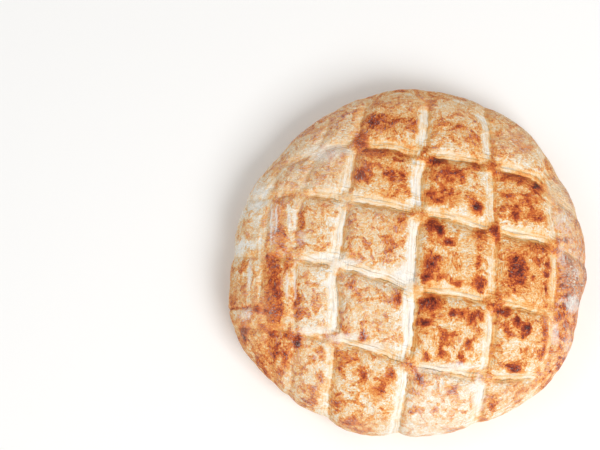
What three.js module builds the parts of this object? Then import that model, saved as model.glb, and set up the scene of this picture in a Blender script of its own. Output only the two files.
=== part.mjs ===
// A round flatbread: one soft disc of dough, scored with a grid of bars and baked on a flat floor.
// The bars left press marks, and the dough between them puffed up into a quilt of pillows.
// Millimetres, +Z up. The origin is under the middle of the bread, on the surface it rests on.
import * as THREE from "three";

// ---- overall size ----
const WIDTH = 201; // along X
const LENGTH = 198; // along Y
const HEIGHT = 48;

// ---- the edge ----
const WAIST_HEIGHT = 17; // height at which the bread is widest
const FOOT_INSET = 15; // how far inside the widest line the flat underside ends
const DOME_FULLNESS = 2.25; // 2 is an ellipse, more is flatter on top and steeper at the edge

// ---- the press marks ----
const BAR_WIDTH = 5;
const PRESS_DEPTH = 4.5; // in the middle of the top
const EDGE_DEPTH = 1.2; // where the marks run off the edge, since the bars hardly reach it
const SHOULDER = 13; // from the edge of a press mark to the flat of the pillow beside it
const BRIDGE_RISE = 2; // where two bars cross, the dough springs back by this much
const BRIDGE_REACH = 7; // half the length of that sprung stretch
const RUN_ON = 40; // each bar runs straight on by this much past the last point given for it

// ---- fineness of the skin ----
const RINGS = 35; // rings of facets from the middle of the top to the foot

// The outline is hand-shaped: its distance from the middle in sixteen directions, counted from +X
// towards +Y. Only the proportions matter, since the outline is fitted to WIDTH and LENGTH.
const OUTLINE_RADII = [
  100, 99.5, 101.5, 101, 101, 99, 97, 99.5, 101, 105.5, 102.5, 101, 98, 98, 102, 101,
];

// Each press mark of the first set runs from back to front, as [x, y] points along it.
const MARKS_ALONG_Y = [
  [[-74, 57], [-80, 27], [-83, -1], [-83, -29], [-79, -57]],
  [[-50, 69], [-60, 41], [-65, 17], [-66, -11], [-66, -45], [-69, -73]],
  [[-27, 83], [-33, 53], [-38, 24], [-42, -3], [-43, -33], [-45, -59], [-48, -89]],
  [[10, 93], [7, 61], [4, 33], [1, 7], [-1, -21], [-2, -49], [-6, -77], [-9, -97]],
  [[42, 89], [44, 57], [44, 29], [44, 1], [43, -29], [40, -57], [35, -91]],
  [[76, 59], [78, 29], [79, -1], [77, -33], [73, -59], [66, -77]],
];

// Each press mark of the second set runs from left to right.
const MARKS_ALONG_X = [
  [[-76, 53], [-58, 57], [-42, 63], [-22, 62], [2, 58], [24, 55], [46, 51], [68, 45], [82, 35]],
  [[-92, 35], [-62, 35], [-33, 31], [-5, 26], [17, 21], [51, 13], [80, 7], [98, 0]],
  [[-98, 3], [-61, -1], [-38, -6], [-16, -13], [2, -19], [23, -22], [51, -27], [80, -33], [96, -41]],
  [[-94, -37], [-61, -42], [-38, -47], [-16, -54], [2, -60], [34, -66], [64, -67], [84, -63]],
];

// The closed outline at the waist, fitted to the overall size and centred on the origin.
function makeOutline() {
  const points = OUTLINE_RADII.map((radius, i) => {
    const angle = (2 * Math.PI * i) / OUTLINE_RADII.length;
    return new THREE.Vector3(radius * Math.cos(angle), radius * Math.sin(angle), 0);
  });
  const curve = new THREE.CatmullRomCurve3(points, true);
  const box = new THREE.Box3().setFromPoints(curve.getPoints(720));
  const size = box.getSize(new THREE.Vector3());
  const middle = box.getCenter(new THREE.Vector3());
  const fit = new THREE.Vector3(WIDTH / size.x, LENGTH / size.y, 1);
  return (turn) => curve.getPoint(turn).sub(middle).multiply(fit);
}

// The profile from the middle of the top to the foot, as evenly spaced steps. Each step says how far
// out it lies as a share of the outline, how far it is drawn in from there, and its height.
function makeProfile() {
  const radius = (WIDTH + LENGTH) / 4;
  const power = 2 / DOME_FULLNESS;
  const fine = 400;
  const steps = [];
  for (let i = 0; i <= fine; i++) {
    const angle = (Math.PI / 2) * (i / fine);
    steps.push({
      share: Math.sin(angle) ** power,
      inset: 0,
      z: WAIST_HEIGHT + (HEIGHT - WAIST_HEIGHT) * Math.max(Math.cos(angle), 0) ** power,
    });
  }
  for (let i = 1; i <= fine; i++) {
    const angle = (Math.PI / 2) * (i / fine);
    steps.push({
      share: 1,
      inset: FOOT_INSET * (1 - Math.cos(angle)),
      z: WAIST_HEIGHT * (1 - Math.sin(angle)),
    });
  }
  const lengths = [0];
  for (let i = 1; i < steps.length; i++) {
    const out = (s) => s.share * radius - s.inset;
    const step = Math.hypot(out(steps[i]) - out(steps[i - 1]), steps[i].z - steps[i - 1].z);
    lengths.push(lengths[i - 1] + step);
  }
  const total = lengths[lengths.length - 1];
  return Array.from({ length: RINGS + 1 }, (_, ring) => {
    const wanted = (total * ring) / RINGS;
    const at = lengths.findIndex((length) => length >= wanted - 1e-9);
    return steps[at];
  });
}

// The index of a point on the sheet: ring 0 is the middle, and ring k holds 6 k points.
function sheetIndex(ring, place) {
  return ring === 0 ? 0 : 1 + 3 * ring * (ring - 1) + (place % (6 * ring));
}

// The facets between two neighbouring rings: six equal sectors, each a strip of triangles.
function ringFaces(ring) {
  const faces = [];
  for (let sector = 0; sector < 6; sector++) {
    for (let j = 0; j < ring; j++) {
      const outer = sheetIndex(ring, sector * ring + j);
      const outerNext = sheetIndex(ring, sector * ring + j + 1);
      const inner = sheetIndex(ring - 1, sector * (ring - 1) + j);
      faces.push(outer, outerNext, inner);
      if (j < ring - 1) {
        const innerNext = sheetIndex(ring - 1, sector * (ring - 1) + j + 1);
        faces.push(inner, outerNext, innerNext);
      }
    }
  }
  return faces;
}

// The smooth body before pressing: domed sheet, rounded foot, flat underside.
function smoothBody() {
  const outline = makeOutline();
  const positions = [];
  makeProfile().forEach(({ share, inset, z }, ring) => {
    for (let place = 0; place < Math.max(6 * ring, 1); place++) {
      const rim = outline(ring === 0 ? 0 : place / (6 * ring));
      const reach = rim.length() * share - inset;
      const point = rim.setLength(Math.max(reach, 0));
      positions.push(point.x, point.y, z);
    }
  });
  const faces = [];
  for (let ring = 1; ring <= RINGS; ring++) faces.push(...ringFaces(ring));
  const underMiddle = positions.length / 3;
  positions.push(0, 0, 0);
  for (let place = 0; place < 6 * RINGS; place++) {
    faces.push(underMiddle, sheetIndex(RINGS, place + 1), sheetIndex(RINGS, place));
  }
  const geometry = new THREE.BufferGeometry();
  geometry.setAttribute("position", new THREE.Float32BufferAttribute(positions, 3));
  geometry.setIndex(faces);
  return geometry;
}

// The point that lies straight on from one point past another.
function runOn(from, past) {
  return past.clone().add(past.clone().sub(from).setLength(RUN_ON));
}

// The plan distance from a point to a press mark, sampled finely along its curve.
function makeMark(points) {
  const given = points.map(([x, y]) => new THREE.Vector2(x, y));
  const start = runOn(given[1], given[0]);
  const end = runOn(given[given.length - 2], given[given.length - 1]);
  const samples = new THREE.SplineCurve([start, ...given, end]).getPoints(80);
  return (x, y) => {
    let nearest = Infinity;
    for (let i = 1; i < samples.length; i++) {
      const a = samples[i - 1];
      const along = samples[i].clone().sub(a);
      const from = new THREE.Vector2(x, y).sub(a);
      const share = THREE.MathUtils.clamp(from.dot(along) / along.lengthSq(), 0, 1);
      nearest = Math.min(nearest, from.distanceTo(along.multiplyScalar(share)));
    }
    return nearest;
  };
}

// How far the dough has risen beside a mark: 0 on its floor, 1 on the flat of the pillow.
function rise(distance) {
  const t = THREE.MathUtils.clamp((distance - BAR_WIDTH / 2) / SHOULDER, 0, 1);
  return Math.sin((Math.PI / 2) * t);
}

// How deep a mark is at a height on the dome: shallower towards the waist.
function fullDepth(z) {
  const share = THREE.MathUtils.clamp((z - WAIST_HEIGHT) / (HEIGHT - WAIST_HEIGHT), 0, 1);
  return THREE.MathUtils.lerp(EDGE_DEPTH, PRESS_DEPTH, share);
}

// How far the press has pushed the skin in at a point of the smooth body.
function makeRelief() {
  const alongY = MARKS_ALONG_Y.map(makeMark);
  const alongX = MARKS_ALONG_X.map(makeMark);
  return ({ x, y, z }) => {
    const toY = Math.min(...alongY.map((mark) => mark(x, y)));
    const toX = Math.min(...alongX.map((mark) => mark(x, y)));
    const depth = fullDepth(z);
    const crossing = Math.max(0, 1 - Math.hypot(toY, toX) / BRIDGE_REACH);
    const sprung = (BRIDGE_RISE * crossing * depth) / PRESS_DEPTH;
    return depth * (1 - rise(toY) * rise(toX)) - sprung;
  };
}

// The press pushes the skin in along its own normal, less and less below the waist.
function pressed(geometry) {
  const relief = makeRelief();
  geometry.computeVertexNormals();
  const position = geometry.getAttribute("position");
  const normal = geometry.getAttribute("normal");
  const point = new THREE.Vector3();
  const inwards = new THREE.Vector3();
  for (let i = 0; i < position.count; i++) {
    point.fromBufferAttribute(position, i);
    inwards.fromBufferAttribute(normal, i).negate();
    const fade = Math.min(1, point.z / WAIST_HEIGHT);
    point.addScaledVector(inwards, relief(point) * fade);
    position.setXYZ(i, point.x, point.y, Math.max(point.z, 0));
  }
  geometry.computeVertexNormals();
  return geometry;
}

function makeFlatbread() {
  const crust = new THREE.MeshStandardMaterial({ color: 0xdfa565, roughness: 0.75, metalness: 0 });
  const mesh = new THREE.Mesh(pressed(smoothBody()), crust);
  mesh.name = "flatbread";
  return mesh;
}

const group = new THREE.Group();
group.add(makeFlatbread());

export default group;
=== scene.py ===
# %% [markdown]
# # A grid-pressed flatbread
#
# A round of soft dough is flattened by hand, scored with a grid of bars and baked on a very hot floor.
# The bars leave pale channels, the dough between them puffs up into pillows, and the tops of the
# pillows catch the heat first, so they brown, blister and scorch.
#
# The bread is one piece, so there is one mesh. It could be carved with a sculpting brush, but a bread
# that is built by rule stays easy to change: a flat sheet is bent into a dome, the bars are pressed
# into it, and the same distances that shape the channels later tell the crust where to brown.

# %% Load the fixed frame
import math
import bpy
import numpy as np
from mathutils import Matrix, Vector, noise


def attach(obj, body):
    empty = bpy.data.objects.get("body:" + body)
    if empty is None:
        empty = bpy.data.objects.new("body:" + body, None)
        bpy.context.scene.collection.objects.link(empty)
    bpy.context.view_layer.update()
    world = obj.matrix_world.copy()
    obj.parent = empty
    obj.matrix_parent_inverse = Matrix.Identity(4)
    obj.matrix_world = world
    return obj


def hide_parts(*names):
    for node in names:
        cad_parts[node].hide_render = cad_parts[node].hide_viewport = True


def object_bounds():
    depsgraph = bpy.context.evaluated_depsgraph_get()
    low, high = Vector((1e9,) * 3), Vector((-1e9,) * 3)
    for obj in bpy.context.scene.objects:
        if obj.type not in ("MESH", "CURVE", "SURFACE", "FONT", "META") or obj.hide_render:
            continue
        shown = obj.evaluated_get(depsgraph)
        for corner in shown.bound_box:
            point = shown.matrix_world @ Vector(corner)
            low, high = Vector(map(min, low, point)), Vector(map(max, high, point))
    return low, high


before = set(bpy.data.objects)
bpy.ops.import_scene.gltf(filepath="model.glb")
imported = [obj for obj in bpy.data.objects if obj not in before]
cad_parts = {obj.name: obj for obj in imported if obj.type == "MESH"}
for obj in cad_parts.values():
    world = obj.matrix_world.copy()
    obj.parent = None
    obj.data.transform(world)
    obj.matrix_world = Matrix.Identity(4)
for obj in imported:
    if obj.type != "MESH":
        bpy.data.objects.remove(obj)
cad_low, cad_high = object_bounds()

MM = 0.001  # the scene is in metres, and a baker's sizes are in millimetres
WIDTH, LENGTH, HEIGHT = [side / MM for side in cad_high - cad_low]
MIDDLE = (cad_low + cad_high) / 2
print(f"the bread is {WIDTH:.1f} x {LENGTH:.1f} mm, {HEIGHT:.1f} mm high")

# %% [markdown]
# ## Camera
#
# The bread lies on a table and the camera looks down on it steeply, leaning back by ten degrees. The
# camera aims a little behind and to the left of the bread, so the bread sits low and right in the
# frame. Turning the camera does this honestly, and nothing is shifted in the lens.

# %% Camera
VIEW_ELEVATION = math.radians(80)
VIEW_DISTANCE = 900 * MM
VIEW_WIDTH = 337 * MM  # what the frame covers at the aimed point
WAIST_HEIGHT = 17.0  # mm above the table, where the bread is widest
aim = Vector((-61 * MM, 20.3 * MM, WAIST_HEIGHT * MM))
back = Vector((0, -math.cos(VIEW_ELEVATION), math.sin(VIEW_ELEVATION)))

lens_data = bpy.data.cameras.new("table_camera")
lens_data.sensor_width = 36
lens_data.lens = lens_data.sensor_width * VIEW_DISTANCE / VIEW_WIDTH
camera = bpy.data.objects.new("table_camera", lens_data)
camera.location = aim + back * VIEW_DISTANCE
camera.rotation_euler = back.to_track_quat("Z", "Y").to_euler()
bpy.context.scene.collection.objects.link(camera)
bpy.context.scene.camera = camera
print(f"camera with a {lens_data.lens:.0f} mm lens")

# %% [markdown]
# ## The sheet
#
# The skin starts as a flat square grid. A round sheet made of rings would crowd its points in the
# middle, where the eye rests, while a square grid that is pressed round keeps its cells nearly even.
# Each point gets a turn (its direction from the middle) and a run (how far along the skin it lies
# from the crown, from 0 at the crown to 1 at the foot).

# %% A square grid, pressed round
SKIN_CELLS = 286  # cells along one side of the sheet

bpy.ops.object.select_all(action="DESELECT")
bpy.ops.mesh.primitive_grid_add(x_subdivisions=SKIN_CELLS, y_subdivisions=SKIN_CELLS, size=2)
bread = bpy.context.object
bread.name = "flatbread_crust"
skin = bread.data


def read(mesh, name="co"):
    """One row of numbers for each vertex of a mesh."""
    flat = np.empty(len(mesh.vertices) * 3)
    mesh.vertices.foreach_get(name, flat)
    return flat.reshape(-1, 3)


def write(mesh, places):
    """Puts each vertex of a mesh at its place."""
    mesh.vertices.foreach_set("co", places.ravel())
    mesh.update()


square = read(skin)[:, :2].copy()
round_x = square[:, 0] * np.sqrt(1 - square[:, 1] ** 2 / 2)
round_y = square[:, 1] * np.sqrt(1 - square[:, 0] ** 2 / 2)
run = np.clip(np.hypot(round_x, round_y), 0, 1)
turn = np.arctan2(round_y, round_x) / math.tau % 1
print(len(skin.vertices), "points on the sheet")

# %% [markdown]
# ## The dome
#
# A puffed bread is flat-topped and steep at its edge, which a superellipse says with one number. Under
# the widest line the side rolls in to a foot, because the dough rose over the part that was already
# set by the hot floor. The outline isn't a circle: a hand-patted round is a few millimetres out here
# and there, so it's given as sixteen distances from the middle, joined by a smooth curve. A few short
# dents and bulges are added to it, where a hand or a bar caught the rim.

# %% Outline and profile
OUTLINE_RADII = [
    100, 99.5, 101.5, 101, 101, 99, 97, 99.5, 101, 105.5, 102.5, 101, 98, 98, 102, 101,
]
# Small dents (-) and bulges (+) of the rim: (direction in degrees, mm, half width in degrees).
RIM_DENTS = [
    (31, -2.4, 5), (176, -1.0, 3), (200, 1.0, 9), (240, -2.2, 6), (265, -1.4, 3), (320, 1.0, 8),
    (345, -3.2, 6),
]
FOOT_INSET = 15.0  # mm, how far inside the widest line the flat underside ends
DOME_FULLNESS = 2.25  # 2 is an ellipse, more is flatter on top and steeper at the edge
PROFILE_STEPS = 400  # for the dome, and as many for the side under it
RIM_STEPS = 720


def curve_between(a, b, c, d, f):
    """A point on a smooth curve from b (f = 0) to c (f = 1), whose neighbours are a and d."""
    return b + 0.5 * f * (c - a + f * (2 * a - 5 * b + 4 * c - d + f * (3 * (b - c) + d - a)))


def smooth_ring(values, turns):
    """A smooth closed curve through values at even steps round a ring."""
    values = np.asarray(values, float)
    place = turns * len(values)
    step = np.floor(place).astype(int)
    neighbours = [values[(step + k) % len(values)] for k in (-1, 0, 1, 2)]
    return curve_between(*neighbours, place - step)


def profile(run):
    """Share of the outline, inset from it and height, at a run along the skin."""
    bend = np.linspace(0, math.pi / 2, PROFILE_STEPS)
    power = 2 / DOME_FULLNESS
    share = np.concatenate([np.sin(bend) ** power, np.ones(PROFILE_STEPS)])
    inset = np.concatenate([np.zeros(PROFILE_STEPS), FOOT_INSET * (1 - np.cos(bend))])
    dome = WAIST_HEIGHT + (HEIGHT - WAIST_HEIGHT) * np.clip(np.cos(bend), 0, 1) ** power
    height = np.concatenate([dome, WAIST_HEIGHT * (1 - np.sin(bend))])
    out = share * WIDTH / 2 - inset
    length = np.concatenate([[0], np.cumsum(np.hypot(np.diff(out), np.diff(height)))])
    length /= length[-1]
    return [np.interp(run, length, line) for line in (share, inset, height)]


share, inset, height = profile(run)
reach = smooth_ring(OUTLINE_RADII, turn)
for direction, bulge, half_width in RIM_DENTS:
    gap = (turn - direction / 360 + 0.5) % 1 - 0.5
    reach += bulge * np.exp(-((gap * 360 / half_width) ** 2)) * run
rim_turns = np.linspace(0, 1, RIM_STEPS, endpoint=False)
rim = smooth_ring(OUTLINE_RADII, rim_turns)[:, None] * np.stack(
    [np.cos(math.tau * rim_turns), np.sin(math.tau * rim_turns)], axis=1
)
fit = np.array([WIDTH, LENGTH]) / np.ptp(rim, axis=0)
drift = (rim.max(axis=0) + rim.min(axis=0)) / 2
heading = np.stack([np.cos(math.tau * turn), np.sin(math.tau * turn)], axis=1)
edge = (heading * reach[:, None] - drift) * fit
plan = edge * share[:, None] - heading * inset[:, None]
X, Y = plan.T
smooth_skin = np.column_stack([X, Y, height])
write(skin, smooth_skin)
outwards = read(skin, "normal")
if outwards[np.argmax(height), 2] < 0:
    outwards = -outwards
print(f"dome {np.ptp(X):.1f} x {np.ptp(Y):.1f} x {np.ptp(height):.1f} mm")

# %% [markdown]
# ## Unevenness
#
# Nothing in a bread is exactly even. A smooth noise gives each point a gentle random value, and it's
# read at several sizes: broad swells, lumps and fine grain. Its places are in millimetres, so the size
# that is asked for is the size that is seen.

# %% Noise on the skin
SEED_STEPS = (17.3, 5.1, 11.7)  # each seed reads another part of the noise
SMOOTHNESS = 0.8  # how fast the finer octaves fade
FINER = 2.0  # each octave is this much finer than the last
SLOW_WANDER = 1.3  # mm by which a press mark strays in long bends
QUICK_WANDER = 0.5  # mm by which it strays in short ones


def swell(size, seed, octaves=1):
    """Smooth noise from about -1 to 1, with features of a size in mm."""
    shift = Vector([seed * step for step in SEED_STEPS])
    places = smooth_skin / size
    return np.array([noise.fractal(Vector(p) + shift, SMOOTHNESS, FINER, octaves) for p in places])


def fade(values, low, high):
    """0 below low, 1 above high, and smooth between."""
    t = np.clip((values - low) / (high - low), 0, 1)
    return t * t * (3 - 2 * t)


broad = swell(38, seed=1)
lumps = swell(14, seed=2, octaves=2)
knobs = swell(5.5, seed=3, octaves=2)
grain = swell(2.2, seed=4, octaves=2)
drag_x, drag_y = swell(4.2, seed=5, octaves=2), swell(4.2, seed=6, octaves=2)
slow_x, slow_y = swell(13, seed=7), swell(13, seed=8)
pressed_x = X + SLOW_WANDER * slow_x + QUICK_WANDER * drag_x
pressed_y = Y + SLOW_WANDER * slow_y + QUICK_WANDER * drag_y
print(f"lumps range from {lumps.min():.2f} to {lumps.max():.2f}")

# %% [markdown]
# ## The press marks
#
# Two sets of bars cross the dough a few degrees off square. As the bread puffed, the marks bowed
# outwards with it and stretched apart in the middle. Each mark is a smooth curve through a few points.
# For each point of the skin, the nearest mark of each set gives three numbers: how far away it is, how
# far along it is, and which side the point lies on.

# %% Marks
MARKS_ALONG_Y = [
    [(-74, 57), (-80, 27), (-83, -1), (-83, -29), (-79, -57)],
    [(-50, 69), (-60, 41), (-65, 17), (-66, -11), (-66, -45), (-69, -73)],
    [(-27, 83), (-33, 53), (-38, 24), (-42, -3), (-43, -33), (-45, -59), (-48, -89)],
    [(10, 93), (7, 61), (4, 33), (1, 7), (-1, -21), (-2, -49), (-6, -77), (-9, -97)],
    [(42, 89), (44, 57), (44, 29), (44, 1), (43, -29), (40, -57), (35, -91)],
    [(76, 59), (78, 29), (79, -1), (77, -33), (73, -59), (66, -77)],
]
MARKS_ALONG_X = [
    [(-76, 53), (-58, 57), (-42, 63), (-22, 62), (2, 58), (24, 55), (46, 51), (68, 45), (82, 35)],
    [(-92, 35), (-62, 35), (-33, 31), (-5, 26), (17, 21), (51, 13), (80, 7), (98, 0)],
    [(-98, 3), (-61, -1), (-38, -6), (-16, -13), (2, -19), (23, -22), (51, -27), (80, -33), (96, -41)],
    [(-94, -37), (-61, -42), (-38, -47), (-16, -54), (2, -60), (34, -66), (64, -67), (84, -63)],
]
RUN_OFF = 40.0  # mm, since each bar runs on past the edge of the bread


def smooth_path(points, steps=8):
    """A smooth curve through a few points, run straight on at both ends."""
    p = np.array(points, float)
    first = p[0] + (p[0] - p[1]) * RUN_OFF / np.linalg.norm(p[0] - p[1])
    last = p[-1] + (p[-1] - p[-2]) * RUN_OFF / np.linalg.norm(p[-1] - p[-2])
    p = np.vstack([2 * first - p[0], first, p, last, 2 * last - p[-1]])
    f = np.linspace(0, 1, steps, endpoint=False)[:, None]
    curve = [curve_between(a, b, c, d, f) for a, b, c, d in zip(p, p[1:], p[2:], p[3:])]
    return np.vstack(curve + [p[-2:-1]])


def measure_from(path):
    """Distance from a path, signed by side, and the length along it, for every point of the skin."""
    nearest = np.full(len(X), np.inf)
    side = np.zeros(len(X))
    along = np.zeros(len(X))
    walked = 0.0
    for a, b in zip(path, path[1:]):
        way = b - a
        size = np.hypot(*way)
        from_x, from_y = pressed_x - a[0], pressed_y - a[1]
        share_of = np.clip((from_x * way[0] + from_y * way[1]) / size**2, 0, 1)
        gap_x, gap_y = from_x - share_of * way[0], from_y - share_of * way[1]
        gap = np.hypot(gap_x, gap_y)
        closer = gap < nearest
        nearest[closer] = gap[closer]
        side[closer] = np.sign(way[0] * gap_y - way[1] * gap_x)[closer]
        along[closer] = (walked + share_of * size)[closer]
        walked += size
    return nearest, side, along


def nearest_mark(marks):
    """For the nearest mark of a set: its distance, signed offset, length along, and number."""
    measured = [measure_from(smooth_path(points)) for points in marks]
    distance, side, along = (np.stack(kind) for kind in zip(*measured))
    number = distance.argmin(axis=0)
    nearest = (number, np.arange(len(X)))
    return distance[nearest], distance[nearest] * side[nearest], along[nearest], number


to_y, offset_y, along_y, mark_y = nearest_mark(MARKS_ALONG_Y)
to_x, offset_x, along_x, mark_x = nearest_mark(MARKS_ALONG_X)
print(len(MARKS_ALONG_Y), "marks one way and", len(MARKS_ALONG_X), "the other")

# %% [markdown]
# ## How strongly each bar pressed
#
# The bars bit deep and clean in the middle of the bread, and hardly touched its sloping sides. So each
# stretch of each mark, from one pillow to the next, gets a strength. The same numbers later say how
# white the channel stays. Where two bars cross, the dough sprang back and browned, and each crossing
# gets a strength of its own.

# %% Strength of marks and crossings
COLUMNS = [-93, -75, -53, -20, 22, 62, 92]  # middles of the columns of pillows, left to right
ROWS = [80, 43, 4, -38, -80]  # middles of the rows, back to front
COLUMN_LEAN = 0.10  # columns lean to the right towards the back
ROW_LEAN = 0.20  # rows sink towards the right
STRENGTH_ALONG_Y = [
    [0.10, 0.40, 0.12, 0.05, 0.05],
    [0.20, 0.22, 0.22, 0.20, 0.20],
    [0.40, 0.60, 0.85, 0.90, 0.50],
    [0.85, 0.85, 1.00, 1.00, 0.80],
    [0.75, 0.56, 0.48, 0.68, 0.66],
    [0.30, 0.55, 0.60, 0.45, 0.30],
]
STRENGTH_ALONG_X = [
    [0.20, 0.30, 0.40, 0.70, 0.80, 0.70, 0.25],
    [0.20, 0.45, 0.60, 0.90, 0.68, 0.85, 0.40],
    [0.20, 0.30, 0.80, 1.00, 0.65, 0.65, 0.35],
    [0.20, 0.30, 0.50, 0.85, 0.80, 0.75, 0.30],
]
BACK_FADE = (80, 90)  # mm behind the middle, where the marks that run to the back die out
BACK_FADE_SHARE = 0.85
# One row for each mark that runs from back to front, with its crossings from back to front.
BROWNED_CROSSINGS = [
    [0.2, 0.3, 0.4, 0.3],
    [0.3, 0.5, 0.5, 0.6],
    [0.9, 0.5, 0.3, 0.8],
    [1.0, 0.9, 0.4, 1.0],
    [0.9, 1.0, 1.0, 1.0],
    [0.5, 0.5, 0.6, 0.5],
]
column_place = X - COLUMN_LEAN * Y
row_place = Y + ROW_LEAN * X


def along_marks(table, number, stations, place):
    """A value given for each stretch of each mark, blended along it."""
    order = np.argsort(stations)
    value = np.zeros(len(X))
    for mark, row in enumerate(table):
        here = number == mark
        value[here] = np.interp(place[here], np.array(stations)[order], np.array(row)[order])
    return value


strength_y = along_marks(STRENGTH_ALONG_Y, mark_y, ROWS, row_place)
strength_y *= 1 - BACK_FADE_SHARE * fade(Y, *BACK_FADE)
strength_x = along_marks(STRENGTH_ALONG_X, mark_x, COLUMNS, column_place)
browned = np.array(BROWNED_CROSSINGS)[mark_y, mark_x]
print(f"strength from {min(strength_y.min(), strength_x.min()):.2f} to {strength_y.max():.2f}")

# %% [markdown]
# ## Pillows
#
# The press was drawn a little to one side as it was lifted, so a channel isn't even. It's a long gentle
# slope that faces the front right, then a crease at the bottom, then a short slope that starts steep and
# rounds off into the next pillow. A pair of straight walls would look like a cut tile, so both slopes
# are curves. Where two bars cross, skin sprang back and bridges the channel.

# %% Press the bars in
CREASE_SHIFT = 1.8  # mm from the middle of a pressed band to its crease
GENTLE_REACH = (2.4, 3.0)  # mm of gentle slope beside a faint mark, and how much more beside a full one
GENTLE_UNEVEN = 1.0  # mm that the lumps add or take
GENTLE_LEAST = 1.2  # mm
GENTLE_SHARE = 0.45  # how much of the height the gentle slope climbs
SHOULDER_START = 0.6  # where along the gentle slope the rest of the climb starts
GENTLE_SHOULDER = 12.0  # mm over which the rest is climbed
STEEP_REACH = 9.0  # mm
STEEP_START = 2.3  # how much steeper than its average the short slope starts
STEEP_BAND = (0.9, 1.1)  # mm of pale band on the short slope of a faint mark, and how much more
FAINT_DEPTH = 0.25  # how deep the faintest mark is, as a share of a full one
PRESS_DEPTH = 4.8  # mm, in the middle of the top
EDGE_DEPTH = 2.0  # mm, at the widest line
BRIDGE_REACH = 7.0  # mm from the crossing of two creases
BRIDGE_FULL = 0.75  # how far in from that reach, as a share of it, the bridge is at its full height
BRIDGE_SHARE = 0.65  # how much of the depth is lost under a bridge
FAINT_BRIDGE = 0.4  # how much of that a crossing that stayed pale loses


def press(past_crease, strength):
    """For one set of marks: how sunk the skin is, from 0 to 1, and how far it lies past the pale band."""
    away = np.abs(past_crease)
    gentle = GENTLE_REACH[0] + GENTLE_REACH[1] * strength + GENTLE_UNEVEN * lumps
    gentle = np.maximum(gentle, GENTLE_LEAST)
    t = np.clip((away - SHOULDER_START * gentle) / GENTLE_SHOULDER, 0, 1)
    rounded = 1 - (1 - t) ** 2
    gentle_rise = GENTLE_SHARE * np.clip(away / gentle, 0, 1) + (1 - GENTLE_SHARE) * rounded
    steep_rise = 1 - (1 - np.clip(away / STEEP_REACH, 0, 1)) ** STEEP_START
    on_gentle = past_crease < 0
    risen = np.where(on_gentle, gentle_rise, steep_rise)
    pale_reach = np.where(on_gentle, gentle, STEEP_BAND[0] + STEEP_BAND[1] * strength)
    return (1 - risen) * (FAINT_DEPTH + (1 - FAINT_DEPTH) * strength), away - pale_reach


past_y = offset_y - CREASE_SHIFT
past_x = -offset_x - CREASE_SHIFT
sunk_y, beyond_y = press(past_y, strength_y)
sunk_x, beyond_x = press(past_x, strength_x)
sunk = 1 - (1 - sunk_y) * (1 - sunk_x)
to_crossing = np.hypot(past_y, past_x)
crossing = fade(1 - to_crossing / BRIDGE_REACH, 0, BRIDGE_FULL)
full_depth = EDGE_DEPTH + (PRESS_DEPTH - EDGE_DEPTH) * np.clip(
    (height - WAIST_HEIGHT) / (HEIGHT - WAIST_HEIGHT), 0, 1
)
bridged = BRIDGE_SHARE * crossing * (FAINT_BRIDGE + (1 - FAINT_BRIDGE) * browned)
depth = full_depth * sunk * (1 - bridged)
print(f"pressed up to {depth.max():.1f} mm deep")

# %% [markdown]
# ## Scorch marks
#
# Where the dough blistered thin, it scorched: a dark, slightly raised core with a red-brown rim that
# fades to orange. Noise alone would spread such marks evenly, but on a real bread they gather on the
# pillows that stood closest to the heat. So the large ones are given one by one, in whole millimetres
# from the middle of the bread, and the freckles between them are left to noise in the finish. Each is
# (x, y, half its width, half its length, darkness), listed by row of pillows from back to front.

# %% Scorch marks, one by one
SCORCH_BACK = [
    (-28, 65, 4, 6, 0.85), (-16, 74, 8, 5, 0.7), (2, 76, 3, 8, 0.6), (12, 87, 4, 2, 0.55),
    (26, 72, 4, 3, 0.6), (28, 81, 4, 2, 0.5), (37, 62, 3, 5, 0.6), (51, 67, 6, 3, 0.5),
    (64, 60, 4, 2, 0.6), (79, 55, 2, 2, 0.65), (-44, 76, 7, 3, 0.5), (-57, 71, 6, 3, 0.5),
    (-33, 83, 6, 3, 0.45), (-75, 50, 2, 3, 0.65), (-67, 36, 4, 5, 0.5), (6, 58, 7, 5, 0.5),
]
SCORCH_SECOND = [
    (-40, 49, 2, 6, 0.5), (-53, 45, 5, 2, 0.42), (-19, 57, 8, 3, 0.78), (-5, 54, 4, 3, 0.65),
    (-22, 50, 5, 3, 0.55), (-27, 44, 4, 4, 0.8), (-11, 43, 3, 4, 0.82), (-5, 43, 2, 3, 0.82),
    (-8, 34, 8, 3, 0.55), (15, 52, 4, 3, 1.0), (20, 45, 3, 4, 0.85), (26, 43, 4, 3, 0.82),
    (13, 43, 4, 4, 0.62), (37, 50, 4, 4, 0.75), (11, 32, 3, 3, 0.85), (17, 33, 2, 4, 0.85),
    (14, 29, 5, 2, 0.75), (23, 32, 4, 4, 0.6), (36, 25, 3, 3, 1.0), (38, 30, 4, 3, 0.55),
    (59, 43, 9, 3, 0.76), (71, 39, 4, 4, 0.9), (46, 49, 2, 5, 0.78), (54, 42, 6, 3, 0.58),
    (54, 32, 4, 3, 0.7), (66, 31, 6, 3, 0.66), (50, 25, 4, 3, 0.52), (58, 23, 3, 4, 0.8),
    (70, 22, 5, 3, 0.68), (88, 25, 3, 2, 0.6), (84, 33, 4, 2, 0.45),
]
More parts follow.
